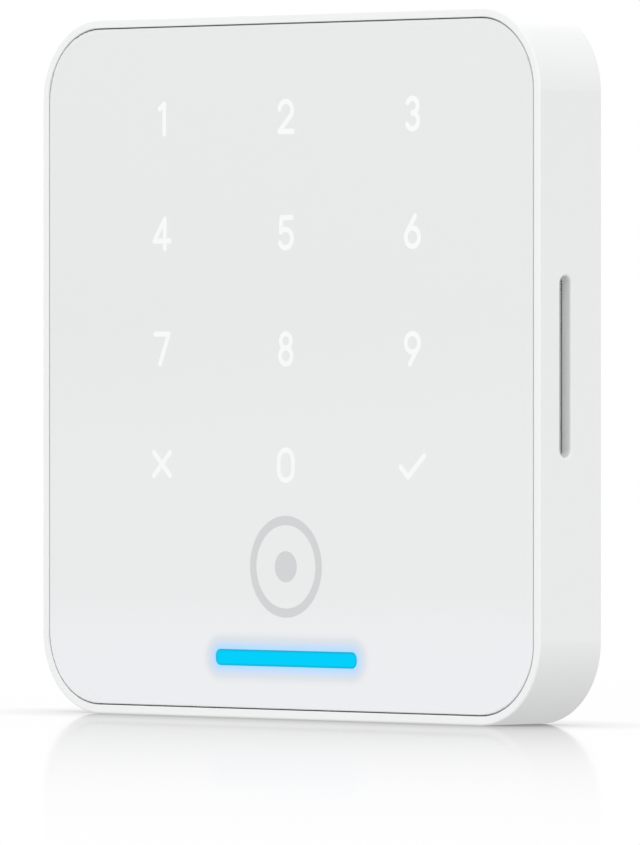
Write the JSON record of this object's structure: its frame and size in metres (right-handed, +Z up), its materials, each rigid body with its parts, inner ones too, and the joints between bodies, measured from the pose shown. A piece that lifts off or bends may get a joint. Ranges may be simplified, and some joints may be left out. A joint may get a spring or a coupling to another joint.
{
  "type": "keypad access reader",
  "caption": "Square wall-mounted access reader with touch keypad, tap mark, cyan light bar, side sound slot, wall plate, lock screw and rear network jack.",
  "frame": {"origin": "centre of the wall plate's back face, on the wall", "axes": "+X to the user's right as they face the keypad, +Y into the wall, +Z up"},
  "size_m": [0.086, 0.0241, 0.086],
  "materials": {
    "panel_white": "flat white touch panel, low gloss with a fine even grain",
    "legend_white": "backlit white legends, flush and smooth",
    "tap_grey": "printed light grey mark, satin",
    "light_cyan": "lit cyan light pipe, smooth and translucent",
    "housing_white": "moulded white housing, satin with soft gloss",
    "foam_black": "closed-cell adhesive foam",
    "film_white": "translucent diffuser film",
    "circuit_board": "glass-epoxy board with solder mask",
    "copper_foil": "bare etched copper",
    "ferrite_grey": "sintered ferrite, dull",
    "frame_white": "reflective white moulding",
    "chip_black": "moulded epoxy package",
    "led_yellow": "phosphor-filled lens",
    "screw_steel": "stainless, turned",
    "tinned_steel": "tin-plated sheet, satin",
    "can_aluminium": "drawn aluminium can",
    "mesh_grey": "woven acoustic mesh",
    "cover_grey": "moulded light grey rear cover, fine spark texture",
    "seal_grey": "silicone seal",
    "membrane_white": "breathable membrane",
    "label_paper": "matt synthetic label",
    "jack_black": "glass-filled nylon",
    "contact_gold": "gold-plated spring wire",
    "button_black": "moulded acetal, satin",
    "plate_steel": "zinc-plated pressed steel",
    "washer_nylon": "natural nylon",
    "insert_brass": "turned brass"
  },
  "bodies": {
    "wall_plate": {"wall_plate": "plate_steel"},
    "reader": {"front_panel": "panel_white", "key_legends": "legend_white", "tap_mark": "tap_grey", "light_bar_lens": "light_cyan", "front_housing": "housing_white", "panel_adhesive": "foam_black", "diffuser_film": "film_white", "touch_board": "circuit_board", "touch_electrodes": "copper_foil", "antenna_coil": "copper_foil", "ferrite_sheet": "ferrite_grey", "backlight_frame": "frame_white", "board_plug": "chip_black", "board_socket": "chip_black", "key_leds": "led_yellow", "status_leds": "led_yellow", "main_board": "circuit_board", "board_screws": "screw_steel", "rf_shield_can": "tinned_steel", "processor_chip": "chip_black", "memory_chip": "chip_black", "nfc_chip": "chip_black", "bluetooth_module": "tinned_steel", "power_transformer": "ferrite_grey", "power_inductor": "ferrite_grey", "power_capacitors": "can_aluminium", "sound_mesh": "mesh_grey", "sounder_gasket": "foam_black", "sounder": "chip_black", "rear_cover": "cover_grey", "rear_gasket": "seal_grey", "cover_screws": "screw_steel", "vent_membrane": "membrane_white", "rating_label": "label_paper", "network_jack": "jack_black", "jack_shield": "tinned_steel", "jack_contacts": "contact_gold", "jack_seal": "seal_grey", "tamper_switch": "chip_black", "reset_switch": "chip_black", "lock_insert": "insert_brass"},
    "tamper_plunger": {"tamper_plunger": "button_black"},
    "reset_button": {"reset_button": "button_black"},
    "lock_washer": {"lock_washer": "washer_nylon"},
    "lock_screw": {"lock_screw": "screw_steel"}
  },
  "joints": [
    {"name": "reader_lift", "type": "slide", "parent": "wall_plate", "child": "reader", "axis": [0, 0, 1], "range_m": [0, 0.0035]},
    {"name": "tamper_press", "type": "slide", "parent": "reader", "child": "tamper_plunger", "axis": [0, -1, 0], "range_m": [0, 0.0012], "stiffness_N_per_m": 400},
    {"name": "reset_press", "type": "slide", "parent": "reader", "child": "reset_button", "axis": [0, -1, 0], "range_m": [0, 0.0005], "stiffness_N_per_m": 1500},
    {"name": "lock_screw_travel", "type": "slide", "parent": "wall_plate", "child": "lock_washer", "axis": [0, 0, -1], "range_m": [0, 0.0035]},
    {"name": "lock_screw_turn", "type": "hinge", "parent": "lock_washer", "child": "lock_screw", "pos_m": [0, -0.0046, -0.042], "axis": [0, 0, -1], "range_deg": [0, 2520]}
  ],
  "couplings": [
    {"joint": "lock_screw_turn", "follows": "lock_screw_travel", "rad_per_m": 12566}
  ]
}
